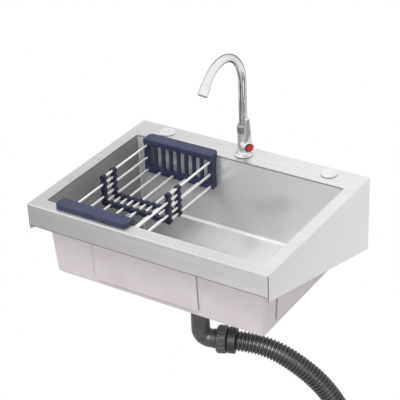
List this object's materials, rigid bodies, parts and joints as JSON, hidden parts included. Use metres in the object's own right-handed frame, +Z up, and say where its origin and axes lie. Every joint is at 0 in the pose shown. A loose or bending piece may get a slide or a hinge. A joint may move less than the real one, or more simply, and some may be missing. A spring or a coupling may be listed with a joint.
{
  "type": "utility sink",
  "caption": "Wall-hung stainless utility sink with sloping side panels, swivel gooseneck tap, telescopic drainer in the bowl and ribbed waste hose.",
  "frame": {"origin": "on the wall, in the middle of the four wall bolts", "axes": "+X to the right seen from the front, +Y into the wall, +Z up"},
  "size_m": [0.612, 0.42, 1.0435],
  "materials": {
    "brushed_steel": "brushed stainless sheet",
    "rod_steel": "polished stainless rod",
    "waste_steel": "satin stainless pressing",
    "chrome": "polished chrome plate",
    "brass": "turned brass",
    "coating": "sprayed anti-condensation coat",
    "pad": "sound pad under the sprayed coat",
    "navy_plastic": "moulded polypropylene",
    "comb_plastic": "moulded polypropylene",
    "waste_plastic": "moulded polypropylene",
    "hose_plastic": "corrugated polyethylene",
    "white_plastic": "moulded plastic",
    "rubber": "black rubber",
    "index_red": "moulded acrylic cap"
  },
  "bodies": {
    "sink": {"deck": "brushed_steel", "side_panel_left": "brushed_steel", "side_panel_right": "brushed_steel", "bowl": "brushed_steel", "bowl_coating": "coating", "sound_pad_front": "pad", "sound_pad_rear": "pad", "sound_pad_left": "pad", "sound_pad_right": "pad", "waste_flange": "waste_steel", "waste_gasket": "rubber", "waste_locknut": "white_plastic", "outlet_washer": "rubber", "outlet_nut": "waste_plastic", "waste_elbow": "waste_plastic", "union_seal": "rubber", "union_nut": "waste_plastic", "waste_hose": "hose_plastic", "hose_tail": "rubber", "tap_gasket": "rubber", "tap_flange": "chrome", "tap_body": "chrome", "tap_shank": "brass", "tap_washer": "waste_steel", "tap_locknut": "brass", "valve_cartridge": "white_plastic", "spout_nut": "chrome", "hole_cover_left": "waste_steel", "hole_cover_right": "waste_steel", "cover_gaskets": "rubber", "cover_nuts": "white_plastic"},
    "spout": {"spout": "chrome", "spout_o_rings": "rubber", "aerator_housing": "chrome", "aerator_insert": "white_plastic"},
    "handle": {"handle_lever": "chrome", "handle_screw": "waste_steel", "index_cap": "index_red", "valve_stem": "brass"},
    "drainer_rear": {"drainer_rear_end": "navy_plastic", "drainer_rear_rods": "rod_steel", "drainer_front_comb": "comb_plastic"},
    "drainer_front": {"drainer_front_end": "navy_plastic", "drainer_front_rods": "rod_steel", "drainer_rear_comb": "comb_plastic"},
    "strainer": {"strainer_basket": "waste_steel"}
  },
  "joints": [
    {"name": "spout_swivel", "type": "hinge", "parent": "sink", "child": "spout", "pos_m": [0, -0.036, 0.095], "axis": [0, 0, 1], "range_deg": [-95, 95]},
    {"name": "handle_turn", "type": "hinge", "parent": "sink", "child": "handle", "pos_m": [0, -0.036, 0.123], "axis": [0.8192, -0.5736, 0], "range_deg": [0, 90]},
    {"name": "drainer_slide", "type": "slide", "parent": "sink", "child": "drainer_rear", "axis": [1, 0, 0], "range_m": [-0.014, 0.281]},
    {"name": "drainer_telescope", "type": "slide", "parent": "drainer_rear", "child": "drainer_front", "axis": [0, 1, 0], "range_m": [0, 0.11]},
    {"name": "strainer_lift", "type": "slide", "parent": "sink", "child": "strainer", "axis": [0, 0, 1], "range_m": [0, 0.05]}
  ]
}
